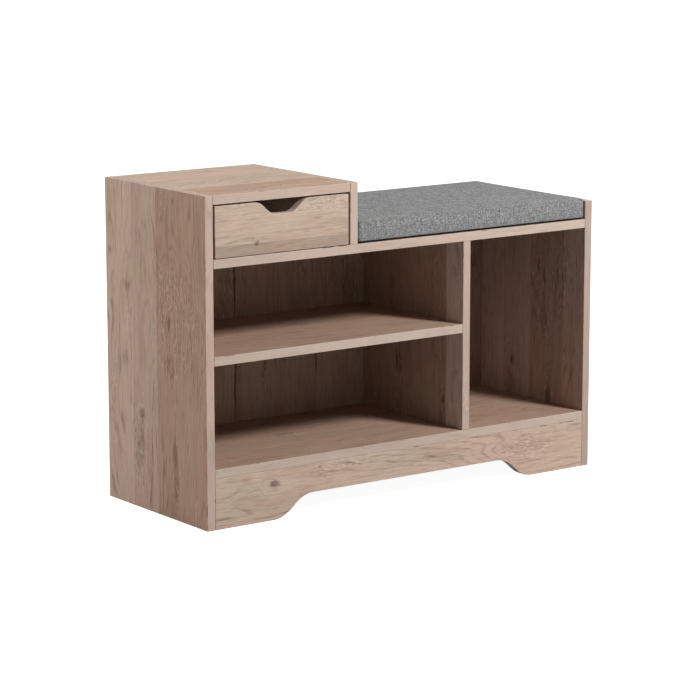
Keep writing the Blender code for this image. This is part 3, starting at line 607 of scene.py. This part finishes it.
def linen_material(name, dark, mid, pale):
    """Heathered plain weave. Its threads follow the panel that the surface belongs to."""
    material, graph, shader = new_material(name, specular=0.15, sheen=0.08)
    x, y, z = graph.split(object_point(graph))
    geometry = graph.add("NewGeometry")
    facing = graph.split(graph.vector("ABSOLUTE", geometry.outputs["Normal"]))
    flat = graph.math("GREATER_THAN", facing[2], FACING)
    upright = graph.math("SUBTRACT", 1.0, flat)
    end = graph.math("MULTIPLY", graph.math("GREATER_THAN", facing[0], facing[1]), upright)
    along = graph.add("Mix", end, data_type="FLOAT")
    graph.feed(along.inputs[2], x)
    graph.feed(along.inputs[3], y)
    across = graph.add("Mix", flat, data_type="FLOAT")
    graph.feed(across.inputs[2], z)
    graph.feed(across.inputs[3], y)
    along, across = along.outputs[0], across.outputs[0]
    panel = graph.math("MULTIPLY_ADD", flat, 3.3, end)
    place = graph.join(along, across, panel)
    weft = graph.math("DIVIDE", across, THREAD)
    warp = graph.math("DIVIDE", along, THREAD)
    weft_row, warp_row = graph.math("FLOOR", weft), graph.math("FLOOR", warp)
    over = graph.math("PINGPONG", graph.math("ADD", weft_row, warp_row), 1.0)
    row = graph.math("MULTIPLY", weft_row, 0.73)
    weft_tone = graph.noise(graph.join(along, row, panel), (70, 1, 1))
    row = graph.math("MULTIPLY", warp_row, 0.73)
    warp_tone = graph.noise(graph.join(row, across, panel), (1, 70, 1))
    tone = graph.add("Mix", over, data_type="FLOAT")
    graph.feed(tone.inputs[2], weft_tone)
    graph.feed(tone.inputs[3], warp_tone)
    blotch = graph.noise(place, (300.0, 420.0, 1.0), detail=3.0, rough=0.85)
    slub = graph.noise(place, (42.0, 560.0, 1.0), detail=2.0)
    mark, upslub, upmark = (
        graph.noise(graph.vector("ADD", place, aside), stretch, detail=2.0)
        for aside, stretch in (
            ((4.7, 2.9, 1.3), (60.0, 500.0, 1.0)),
            ((9.1, 0.6, 2.2), (560.0, 110.0, 1.0)),
            ((2.4, 7.6, 5.2), (560.0, 130.0, 1.0)),
        )
    )
    value = graph.math("MULTIPLY_ADD", blotch, 0.60, graph.math("MULTIPLY", tone.outputs[0], 0.40))
    base = graph.mix(graph.smooth(value, 0.36, 0.54), dark, mid)
    base = graph.mix(graph.smooth(value, 0.48, 0.66), base, pale)
    base = graph.mix(graph.smooth(slub, 0.58, 0.72, 0.0, 0.55), base, pale)
    base = graph.mix(graph.smooth(upslub, 0.60, 0.72, 0.0, 0.85), base, pale)
    base = graph.mix(graph.smooth(mark, 0.60, 0.74, 0.0, 0.50), base, dark)
    base = graph.mix(graph.smooth(upmark, 0.60, 0.72, 0.0, 0.80), base, dark)
    weft_round, warp_round = (
        graph.math("ABSOLUTE", graph.math("SINE", graph.math("MULTIPLY", turn, math.pi)))
        for turn in (weft, warp)
    )
    thread = graph.add("Mix", over, data_type="FLOAT")
    graph.feed(thread.inputs[2], weft_round)
    graph.feed(thread.inputs[3], warp_round)
    relief = graph.math("MULTIPLY_ADD", graph.smooth(slub, 0.60, 0.74), 0.8, thread.outputs[0])
    # Painted shadow: the cloth is near-black below this height, standing in for the shade under the
    # cushion's lower edge.
    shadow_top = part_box("cushion_cover")[0].z + SHADOW_RISE
    base = graph.mix(graph.math("LESS_THAN", z, shadow_top), base, UNDER_SHADOW)
    finish_material(graph, shader, base, 0.88, relief, 0.0003, strength=0.7)
    return material


zinc_plate = metal_material(
    "zinc_plate", colour(176, 178, 178), colour(222, 224, 223), 0.36, (400, 30, 400)
)
die_cast = metal_material(
    "die_cast_zinc", colour(146, 148, 150), colour(190, 192, 194), 0.46, (600, 600, 600)
)
bolt_steel = metal_material(
    "bolt_steel", colour(160, 160, 158), colour(206, 206, 202), 0.34, (150, 150, 900)
)
nylon = nylon_material()
foam = foam_material()
linen = linen_material(
    "heather_linen", colour(84, 84, 85), colour(130, 130, 130), colour(182, 181, 179)
)
coil = metal_material(
    "zip_coil", colour(52, 54, 57), colour(74, 76, 79), 0.45, (500, 500, 500), metallic=0.0
)
tape = linen_material("zip_tape", colour(58, 59, 61), colour(78, 79, 81), colour(98, 99, 101))
for node in nodes:
    if node.endswith("_rail") and node != "rear_rail":
        dress(node, zinc_plate)
    elif node.endswith("_roller"):
        dress(node, nylon)
    elif node.endswith("_cam"):
        dress(node, die_cast)
    elif node.endswith(("_bolt", "_pin")):
        dress(node, bolt_steel)


# Building blocks


def new_object(name, mesh, material, body):
    obj = bpy.data.objects.new(name, mesh)
    scene.collection.objects.link(obj)
    mesh.materials.clear()
    mesh.materials.append(material)
    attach(obj, body)
    return obj


def to_mesh(shape, name):
    mesh = bpy.data.meshes.new(name)
    bmesh.ops.recalc_face_normals(shape, faces=shape.faces)
    shape.to_mesh(mesh)
    shape.free()
    return mesh


def evaluated(obj):
    """The object's mesh with its modifiers applied. The object itself is removed."""
    bpy.context.view_layer.update()
    graph = bpy.context.evaluated_depsgraph_get()
    mesh = bpy.data.meshes.new_from_object(obj.evaluated_get(graph))
    bpy.data.objects.remove(obj)
    return mesh


def rounded_box(low, high, radius, segments=3):
    shape = bmesh.new()
    matrix = Matrix.Translation((low + high) / 2) @ Matrix.Diagonal((*(high - low), 1.0))
    bmesh.ops.create_cube(shape, size=1.0, matrix=matrix)
    bmesh.ops.bevel(
        shape, geom=shape.edges[:], offset=radius, segments=segments, profile=0.5, affect="EDGES"
    )
    return shape


def turned(profile, sides):
    """A solid turned about Z. Its profile of (radius, height) points starts and ends on Z."""
    shape = bmesh.new()
    points = [shape.verts.new((radius, 0.0, height)) for radius, height in profile]
    edges = [shape.edges.new(pair) for pair in zip(points, points[1:])]
    bmesh.ops.spin(
        shape,
        geom=points + edges,
        cent=(0, 0, 0),
        axis=(0, 0, 1),
        angle=2 * math.pi,
        steps=sides,
        use_merge=True,
    )
    bmesh.ops.remove_doubles(shape, verts=shape.verts, dist=1e-6)
    return shape


def with_cross(name, profile, sides, cross):
    """A turned head whose top is at z = 0 or just above, with a cross recess."""
    reach, width, depth = cross
    head = bpy.data.objects.new(name, to_mesh(turned(profile, sides), name))
    scene.collection.objects.link(head)
    cutters = []
    for x, y in ((reach, width / 2), (width / 2, reach)):
        low, high = Vector((-x, -y, -depth)), Vector((x, y, 0.01))
        mesh = to_mesh(rounded_box(low, high, width / 8, 1), "cutter")
        cutter = bpy.data.objects.new("cutter", mesh)
        scene.collection.objects.link(cutter)
        cut = head.modifiers.new("cross", "BOOLEAN")
        cut.operation, cut.solver, cut.object = "DIFFERENCE", "EXACT", cutter
        cutters.append(cutter)
    mesh = evaluated(head)
    for cutter in cutters:
        bpy.data.objects.remove(cutter)
    return mesh


def scatter(name, mesh, spots, material, body):
    """One object that holds a copy of the mesh at each (place, outward direction)."""
    shape = bmesh.new()
    for place, outward in spots:
        turn = Vector(outward).to_track_quat("Z", "Y").to_matrix().to_4x4()
        copy = mesh.copy()
        copy.transform(Matrix.Translation(place) @ turn)
        shape.from_mesh(copy)
        bpy.data.meshes.remove(copy)
    joined = bpy.data.meshes.new(name)
    shape.to_mesh(joined)
    shape.free()
    joined.shade_smooth()
    joined.set_sharp_from_angle(angle=math.radians(32))
    return new_object(name, joined, material, body)


# Fittings that the boards show on their hidden sides


def middle_of(node):
    low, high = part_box(node)
    return (low + high) / 2


def flat_profile(radius, slope):
    """A flat head, just proud of the board, whose rim slopes over that width."""
    edge = radius - slope
    return (
        (0, FITTING_PROUD),
        (edge, FITTING_PROUD),
        (radius, 0),
        (radius, -FITTING_DEPTH),
        (0, -FITTING_DEPTH),
    )


def pan_profile():
    rim = SCREW_HEAD * 0.35
    return (
        (0, SCREW_HEAD),
        (SCREW_RADIUS * 0.45, SCREW_HEAD * 0.96),
        (SCREW_RADIUS * 0.80, SCREW_HEAD * 0.74),
        (SCREW_RADIUS, rim),
        (SCREW_RADIUS, -rim),
        (0, -rim),
    )


def add_board_fittings():
    """Cams of the middle shelf, apron and rear rail. Screws into the divider and tower side."""
    left_x, right_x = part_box("left_side_panel")[1].x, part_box("right_side_panel")[0].x
    shelf_low, shelf_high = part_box("middle_shelf")
    cam_middle = middle_of("bottom_left_front_cam")
    front_y, rear_y = cam_middle.y, middle_of("bottom_left_rear_cam").y
    inset = cam_middle.x - left_x

    cam = with_cross("cam_head", flat_profile(CAM_RADIUS, FITTING_PROUD), 40, CAM_CROSS)
    spots = []
    for y in (front_y, rear_y):
        for x in (shelf_low.x + inset, shelf_high.x - inset):
            spots.append(((x, y, shelf_low.z), DOWN))
    for x in (left_x + inset, right_x - inset):
        spots.append(((x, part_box("front_apron")[1].y, middle_of("front_apron").z), BACK))
        spots.append(((x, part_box("rear_rail")[0].y, middle_of("rear_rail").z), FORWARD))
    scatter("shelf_and_rail_cams", cam, spots, die_cast, "bench")

    profile = flat_profile(SCREW_RADIUS * FLAT_SPREAD, FLAT_SLOPE)
    flat_head = with_cross("flat_head", profile, 32, FLAT_CROSS)
    spots = []
    pairs = (("centre_divider", "bottom_shelf"), ("tower_side_panel", "seat_board"))
    for y in (front_y, rear_y):
        for upright, board in pairs:
            spots.append(((middle_of(upright).x, y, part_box(board)[0].z), DOWN))
    scatter("board_screws", flat_head, spots, bolt_steel, "bench")


def add_runner_screws():
    """Screws of the runners and of the drawer's back."""
    pan_head = with_cross("pan_head", pan_profile(), 28, PAN_CROSS)
    bench_spots, drawer_spots = [], []
    back_low, back_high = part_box("drawer_back")
    back_y = (back_low.y + back_high.y) / 2
    for hand, inward in (("left", 1), ("right", -1)):
        rail_low, rail_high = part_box(hand + "_cabinet_rail")
        side_low, side_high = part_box(f"drawer_{hand}_side")
        ledge_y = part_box(hand + "_drawer_rail")[0].y
        ledge_z = side_low.z - RAIL_SHEET - TOUCH
        web_x = (rail_low.x if inward > 0 else rail_high.x) + inward * RAIL_SHEET
        outer_x = side_low.x if inward > 0 else side_high.x
        length = rail_high.y - rail_low.y
        axis_z = middle_of(hand + "_cabinet_roller").z
        for share in CABINET_SCREWS:
            bench_spots.append(((web_x, rail_low.y + share * length, axis_z), (inward, 0, 0)))
            ledge = ((side_low.x + side_high.x) / 2, ledge_y + share * length, ledge_z)
            drawer_spots.append((ledge, DOWN))
        for share in BACK_SCREWS:
            z = back_low.z + share * (back_high.z - back_low.z)
            drawer_spots.append(((outer_x, back_y, z), (-inward, 0, 0)))
    scatter("runner_screws", pan_head, bench_spots, bolt_steel, "bench")
    scatter("drawer_screws", pan_head, drawer_spots, bolt_steel, "drawer")


add_board_fittings()
add_runner_screws()


# Cushion


def pinch(x, low, high):
    """How far the long sides draw in between the corners."""
    share = (2 * x - low.x - high.x) / (high.x - low.x)
    return CUSHION_PINCH * (1 - share * share)


def cushion_slab(low, high):
    """The cushion before it is filled: a rounded slab, its long sides a little drawn in."""
    mesh = to_mesh(rounded_box(low, high, CUSHION_ROUND, 4), "slab")
    slab = bpy.data.objects.new("slab", mesh)
    scene.collection.objects.link(slab)
    remesh = slab.modifiers.new("voxels", "REMESH")
    remesh.mode = "VOXEL"
    remesh.voxel_size = VOXEL
    mesh = evaluated(slab)
    middle = (low + high) / 2
    depth = (high.y - low.y) / 2
    for point in mesh.vertices:
        share = (point.co.y - middle.y) / depth
        point.co.y -= math.copysign(pinch(point.co.x, low, high) * abs(share) ** 8, share)
    return mesh


def filled(mesh, low, high, zip_low, zip_high):
    """The mesh after cloth simulation under pressure, its sewn edges and zip held."""
    rest = [point.co.copy() for point in mesh.vertices]
    cloth_piece = bpy.data.objects.new("cloth", mesh)
    scene.collection.objects.link(cloth_piece)
    sewn = cloth_piece.vertex_groups.new(name="sewn")
    held = []
    for index, point in enumerate(rest):
        side = min(point.x - low.x, high.x - point.x, point.y - low.y, high.y - point.y)
        level = min(point.z - low.z, high.z - point.z)
        zip_level = zip_low.z - VOXEL < point.z < zip_high.z + VOXEL
        by_zip = point.y > high.y - 2 * VOXEL and zip_level
        if by_zip or max(side, level) < CUSHION_ROUND:
            held.append(index)
    sewn.add(held, 1.0, "REPLACE")
    cloth = cloth_piece.modifiers.new("fill", "CLOTH")
    settings = cloth.settings
    settings.quality = 5
    settings.mass = CLOTH_MASS
    settings.tension_stiffness = CLOTH_STIFFNESS
    settings.compression_stiffness = CLOTH_STIFFNESS
    settings.shear_stiffness = CLOTH_SHEAR
    settings.bending_stiffness = CLOTH_BENDING
    settings.use_pressure = True
    settings.uniform_pressure_force = PRESSURE
    settings.vertex_group_mass = "sewn"
    settings.effector_weights.gravity = 0.0
    cloth.collision_settings.use_collision = False
    scene.frame_start, scene.frame_end = 1, SIM_FRAMES
    for step in range(1, SIM_FRAMES + 1):
        scene.frame_set(step)
    result = evaluated(cloth_piece)
    scene.frame_set(1)
    for point, start in zip(result.vertices, rest):
        moved = point.co - start
        level = abs(2 * start.z - low.z - high.z) > high.z - low.z - 2 * VOXEL
        most = CUSHION_CROWN if level else CUSHION_BULGE
        if moved.length > 1e-9:
            moved *= most * math.tanh(moved.length / most) / moved.length
        point.co = start + moved
        point.co.z = max(point.co.z, low.z)
    return result


def seam_line(tree, low, high, z):
    """Points round the cushion at height z, dropped onto its surface."""
    radius = CUSHION_ROUND
    corners = []
    for corner_x, corner_y, start in (
        (high.x - radius, high.y - radius, 0),
        (low.x + radius, high.y - radius, 1),
        (low.x + radius, low.y + radius, 2),
        (high.x - radius, low.y + radius, 3),
    ):
        for step in range(SEAM_CORNER_STEPS + 1):
            angle = (start + step / SEAM_CORNER_STEPS) * math.pi / 2
            x, y = corner_x + radius * math.cos(angle), corner_y + radius * math.sin(angle)
            corners.append((x, y))
    line = []
    for (x0, y0), (x1, y1) in zip(corners, corners[1:] + corners[:1]):
        count = max(1, round(math.hypot(x1 - x0, y1 - y0) / SEAM_STEP))
        line += [(x0 + (x1 - x0) * i / count, y0 + (y1 - y0) * i / count) for i in range(count)]
    return [tree.find_nearest(Vector((x, y, z)))[0] for x, y in line]


def add_seam(name, points, chance):
    """The folded edge of a sewn seam, standing just proud of the cloth."""
    curve = bpy.data.curves.new(name, "CURVE")
    curve.dimensions = "3D"
    curve.bevel_depth = SEAM_RADIUS
    curve.bevel_resolution = 2
    spline = curve.splines.new("POLY")
    spline.points.add(len(points) - 1)
    for target, point in zip(spline.points, points):
        target.co = (*point, 1.0)
        target.radius = chance.uniform(*SEAM_SPREAD)
    spline.use_cyclic_u = True
    holder = bpy.data.objects.new(name, curve)
    scene.collection.objects.link(holder)
    mesh = evaluated(holder)
    mesh.shade_smooth()
    return new_object(name, mesh, linen, "cushion")


def add_zip(low, high, zip_low, zip_high):
    """Tape, coil and slider in the rear of the cover, following its drawn-in side."""
    middle_z = (zip_low.z + zip_high.z) / 2
    face = high.y

    def follow(mesh):
        for point in mesh.vertices:
            point.co.y -= pinch(point.co.x, low, high)
        return mesh

    shape = bmesh.new()
    half = (zip_high.z - zip_low.z) / 2
    section = (
        (-half, -TAPE_DEPTH),
        (-half, TAPE_EDGE),
        (-half * COIL_LANE, TAPE_MIDDLE),
        (half * COIL_LANE, TAPE_MIDDLE),
        (half, TAPE_EDGE),
        (half, -TAPE_DEPTH),
    )
    rows = []
    for step in range(TAPE_STEPS + 1):
        x = zip_low.x + (zip_high.x - zip_low.x) * step / TAPE_STEPS
        rows.append([shape.verts.new((x, face + y, middle_z + z)) for z, y in section])
    for row, after in zip(rows, rows[1:]):
        for i in range(len(section)):
            j = (i + 1) % len(section)
            shape.faces.new((row[i], row[j], after[j], after[i]))
    shape.faces.new(rows[0])
    shape.faces.new(rows[-1])
    band_mesh = follow(to_mesh(shape, "zip_tape_band"))
    band = new_object("zip_tape_band", band_mesh, tape, "cushion")
    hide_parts("cushion_zip")

    shape = bmesh.new()
    count = int((zip_high.x - zip_low.x) / TOOTH_PITCH) - 2 * PLAIN_TAPE
    for i in range(count):
        x = zip_low.x + (i + PLAIN_TAPE + 0.5) * TOOTH_PITCH
        shift = TOOTH_HEIGHT * TOOTH_SHIFT * (-1) ** i
        matrix = Matrix.Translation((x, face + TOOTH_DEPTH, middle_z + shift))
        size = Matrix.Diagonal((TOOTH_WIDTH, TOOTH_DEPTH, TOOTH_HEIGHT, 1.0))
        bmesh.ops.create_icosphere(
            shape, subdivisions=1, radius=TOOTH_RADIUS, matrix=matrix @ size
        )
    coil_mesh = follow(to_mesh(shape, "zip_coil"))
    coil_mesh.shade_smooth()
    new_object("zip_coil", coil_mesh, coil, "cushion")

    base = Vector((zip_high.x - SLIDER_PLACE, face + SLIDER_LIFT, middle_z))
    half_size = Vector(SLIDER_HALF)
    merged = bmesh.new()
    for start, end, radius in (
        (-half_size, half_size, 0.0007),
        (Vector(BRIDGE[0]), Vector(BRIDGE[1]), 0.0005),
        (Vector(PULL[0]), Vector(PULL[1]), 0.0004),
    ):
        part = rounded_box(base + start, base + end, radius)
        merged.from_mesh(to_mesh(part, "slider_part"))
    slider = follow(to_mesh(merged, "zip_slider"))
    slider.shade_smooth()
    slider.set_sharp_from_angle(angle=math.radians(40))
    new_object("zip_slider", slider, bolt_steel, "cushion")


def add_cushion():
    cover_low, cover_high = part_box("cushion_cover")
    zip_low, zip_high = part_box("cushion_zip")
    inset = Vector((CUSHION_INSET, CUSHION_INSET, 0.0))
    low = cover_low + inset
    high = cover_high - inset - Vector((0.0, 0.0, CUSHION_CROWN / 4))
    mesh = cushion_slab(low, high)
    mesh = filled(mesh, low, high, zip_low, zip_high)
    mesh.name = "linen_cushion"
    mesh.shade_smooth()
    cushion = new_object("linen_cushion", mesh, linen, "cushion")
    smooth = cushion.modifiers.new("smooth", "SUBSURF")
    smooth.levels = smooth.render_levels = 1
    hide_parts("cushion_cover")
    shape = bmesh.new()
    shape.from_mesh(mesh)
    tree = BVHTree.FromBMesh(shape)
    shape.free()
    chance = random.Random(5)
    add_seam("upper_seam", seam_line(tree, low, high, high.z - SEAM_DROP), chance)
    # The lower seam runs along the top of the painted shadow band.
    lower = low.z + SHADOW_RISE - SEAM_RADIUS
    add_seam("lower_seam", seam_line(tree, low, high, lower), chance)
    add_zip(low, high, zip_low, zip_high)

    skin = Vector((FOAM_INSET, FOAM_INSET, FOAM_INSET))
    block = rounded_box(low + skin, high - skin, CUSHION_ROUND)
    core = new_object("foam_core", to_mesh(block, "foam_core"), foam, "cushion")
    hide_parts("cushion_foam")


add_cushion()


# Studio


def aimed_light(name, place, size, power):
    data = bpy.data.lights.new(name, "AREA")
    data.shape = "DISK"
    data.size = size
    data.energy = power
    light = bpy.data.objects.new(name, data)
    light.location = place
    light.rotation_euler = (Vector(AIM) - Vector(place)).to_track_quat("-Z", "Y").to_euler()
    scene.collection.objects.link(light)
    return light


def add_studio():
    """A plain pale floor, soft light and the camera."""
    shape = bmesh.new()
    bmesh.ops.create_grid(shape, x_segments=1, y_segments=1, size=FLOOR_SIZE / 2)
    mesh = bpy.data.meshes.new("floor")
    shape.to_mesh(mesh)
    shape.free()
    floor = bpy.data.objects.new("floor", mesh)
    floor.location.z = cad_low.z - FLOOR_DROP
    scene.collection.objects.link(floor)
    material = bpy.data.materials.new("floor")
    material.use_nodes = True
    graph = Graph(material.node_tree)
    seen = graph.add("LightPath").outputs["Is Camera Ray"]
    pale = graph.add("BsdfDiffuse", FLOOR_SHOWN).outputs[0]
    away = graph.vector("LENGTH", graph.add("TexCoord").outputs["Object"])
    strength = graph.smooth(away, *FLOOR_FADE, *FLOOR_GLOW)
    glow = graph.add("Emission", WHITE, strength).outputs[0]
    shown = graph.add("AddShader", pale, glow).outputs[0]
    bounced = graph.add("BsdfDiffuse", FLOOR_BOUNCED).outputs[0]
    surface = graph.add("MixShader", seen, bounced, shown).outputs[0]
    graph.add("OutputMaterial", surface)
    mesh.materials.append(material)

    world = bpy.data.worlds.new("studio")
    world.use_nodes = True
    graph = Graph(world.node_tree)
    seen = graph.add("LightPath").outputs["Is Camera Ray"]
    strength = graph.add("MapRange", seen, 0.0, 1.0, SKY, 1.0).outputs[0]
    graph.add("OutputWorld", graph.add("Background", WHITE, strength).outputs[0])
    scene.world = world

    key = Vector(AIM) + Vector(KEY_DIRECTION).normalized() * KEY_DISTANCE
    aimed_light("key", key, KEY_SIZE, KEY_POWER)
    aimed_light("side", SIDE_PLACE, SIDE_SIZE, SIDE_POWER)
    aimed_light("top", TOP_PLACE, TOP_SIZE, TOP_POWER)
    front_low, front_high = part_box("drawer_front")
    under_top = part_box("tower_top_panel")[0].z - BAY_FILL_DROP
    bay = ((front_low.x + front_high.x) / 2, front_high.y + BAY_FILL_SIZE, under_top)
    fill = aimed_light("bay_fill", bay, BAY_FILL_SIZE, BAY_FILL)
    fill.rotation_euler = (0.0, 0.0, 0.0)

    camera = bpy.data.objects.new("camera", bpy.data.cameras.new("camera"))
    camera.data.lens = LENS
    camera.location = CAMERA_PLACE
    camera.rotation_euler = (math.pi / 2 - CAMERA_DIP, 0.0, CAMERA_TURN)
    scene.collection.objects.link(camera)
    scene.camera = camera
    scene.view_settings.view_transform = "Standard"


add_studio()
